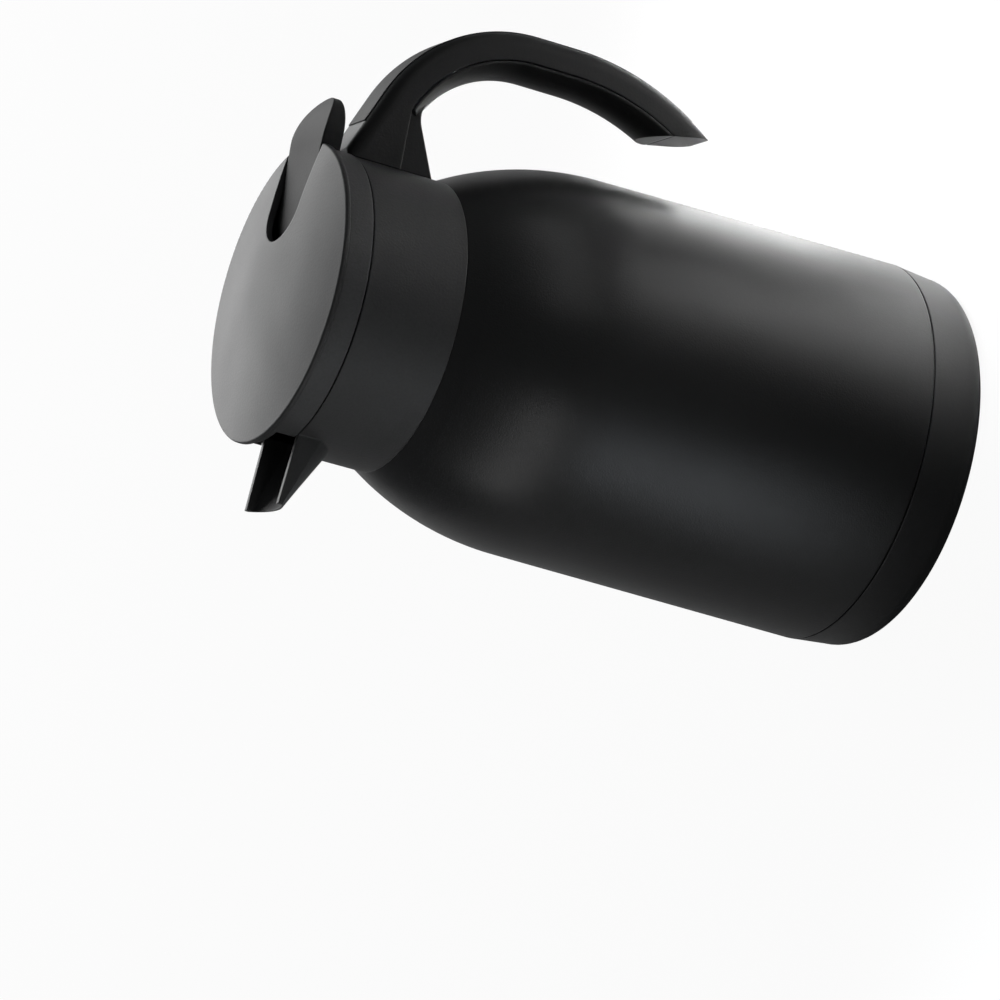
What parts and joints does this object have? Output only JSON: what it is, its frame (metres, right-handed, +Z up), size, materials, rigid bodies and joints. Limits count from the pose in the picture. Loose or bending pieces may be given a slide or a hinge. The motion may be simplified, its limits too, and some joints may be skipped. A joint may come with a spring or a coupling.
{
  "type": "thermal carafe",
  "caption": "Tall double-walled thermal carafe with a rounded shoulder, open beak spout, open hooked side handle and a twist-in stopper lid worked by a thumb lever.",
  "frame": {"origin": "centre of the anti-slip pad's underside, where the carafe stands", "axes": "+Z up along the vessel's axis, +X towards the handle, -X towards the spout, +Y completes a right-handed frame"},
  "size_m": [0.1805, 0.134, 0.2425],
  "materials": {
    "black_coat": "satin",
    "steel": "brushed",
    "black_plastic": "satin",
    "soft_black": "matte",
    "grey_rubber": "matte",
    "valve_plastic": "satin"
  },
  "bodies": {
    "vessel": {"base_cup": "black_plastic", "base_pad": "soft_black", "outer_shell": "black_coat", "vacuum_pan": "steel", "vacuum_seal": "steel", "getter": "steel", "inner_liner": "steel", "spout_collar": "black_plastic", "collar_gasket": "grey_rubber", "handle_outer": "black_plastic", "handle_inner": "black_plastic", "handle_grip": "soft_black", "handle_screws": "steel"},
    "seal_ring": {"neck_seal": "grey_rubber"},
    "lid": {"stopper": "black_plastic", "lid_cover": "black_plastic", "lever_pin": "steel", "valve_spring": "steel"},
    "lever": {"thumb_lever": "black_plastic"},
    "valve": {"valve_stem": "valve_plastic", "stem_cap": "valve_plastic", "valve_plate": "valve_plastic", "valve_seal": "grey_rubber"}
  },
  "joints": [
    {"name": "lid_lift", "type": "slide", "parent": "vessel", "child": "seal_ring", "axis": [0, 0, 1], "range_m": [0, 0.08]},
    {"name": "lid_turn", "type": "hinge", "parent": "seal_ring", "child": "lid", "pos_m": [0, 0, 0.2267], "axis": [0, 0, 1], "range_deg": [0, 90]},
    {"name": "lever_press", "type": "hinge", "parent": "lid", "child": "lever", "pos_m": [-0.021, 0, 0.2322], "axis": [0, -1, 0], "range_deg": [0, 7.1], "stiffness_Nm_per_rad": 2, "springref_deg": 11.46},
    {"name": "valve_travel", "type": "slide", "parent": "lid", "child": "valve", "axis": [0, 0, 1], "range_m": [0, 0.00262], "deforming": ["valve_spring"]}
  ],
  "couplings": [
    {"joint": "valve_travel", "follows": "lever_press", "m_per_rad": 0.021}
  ]
}
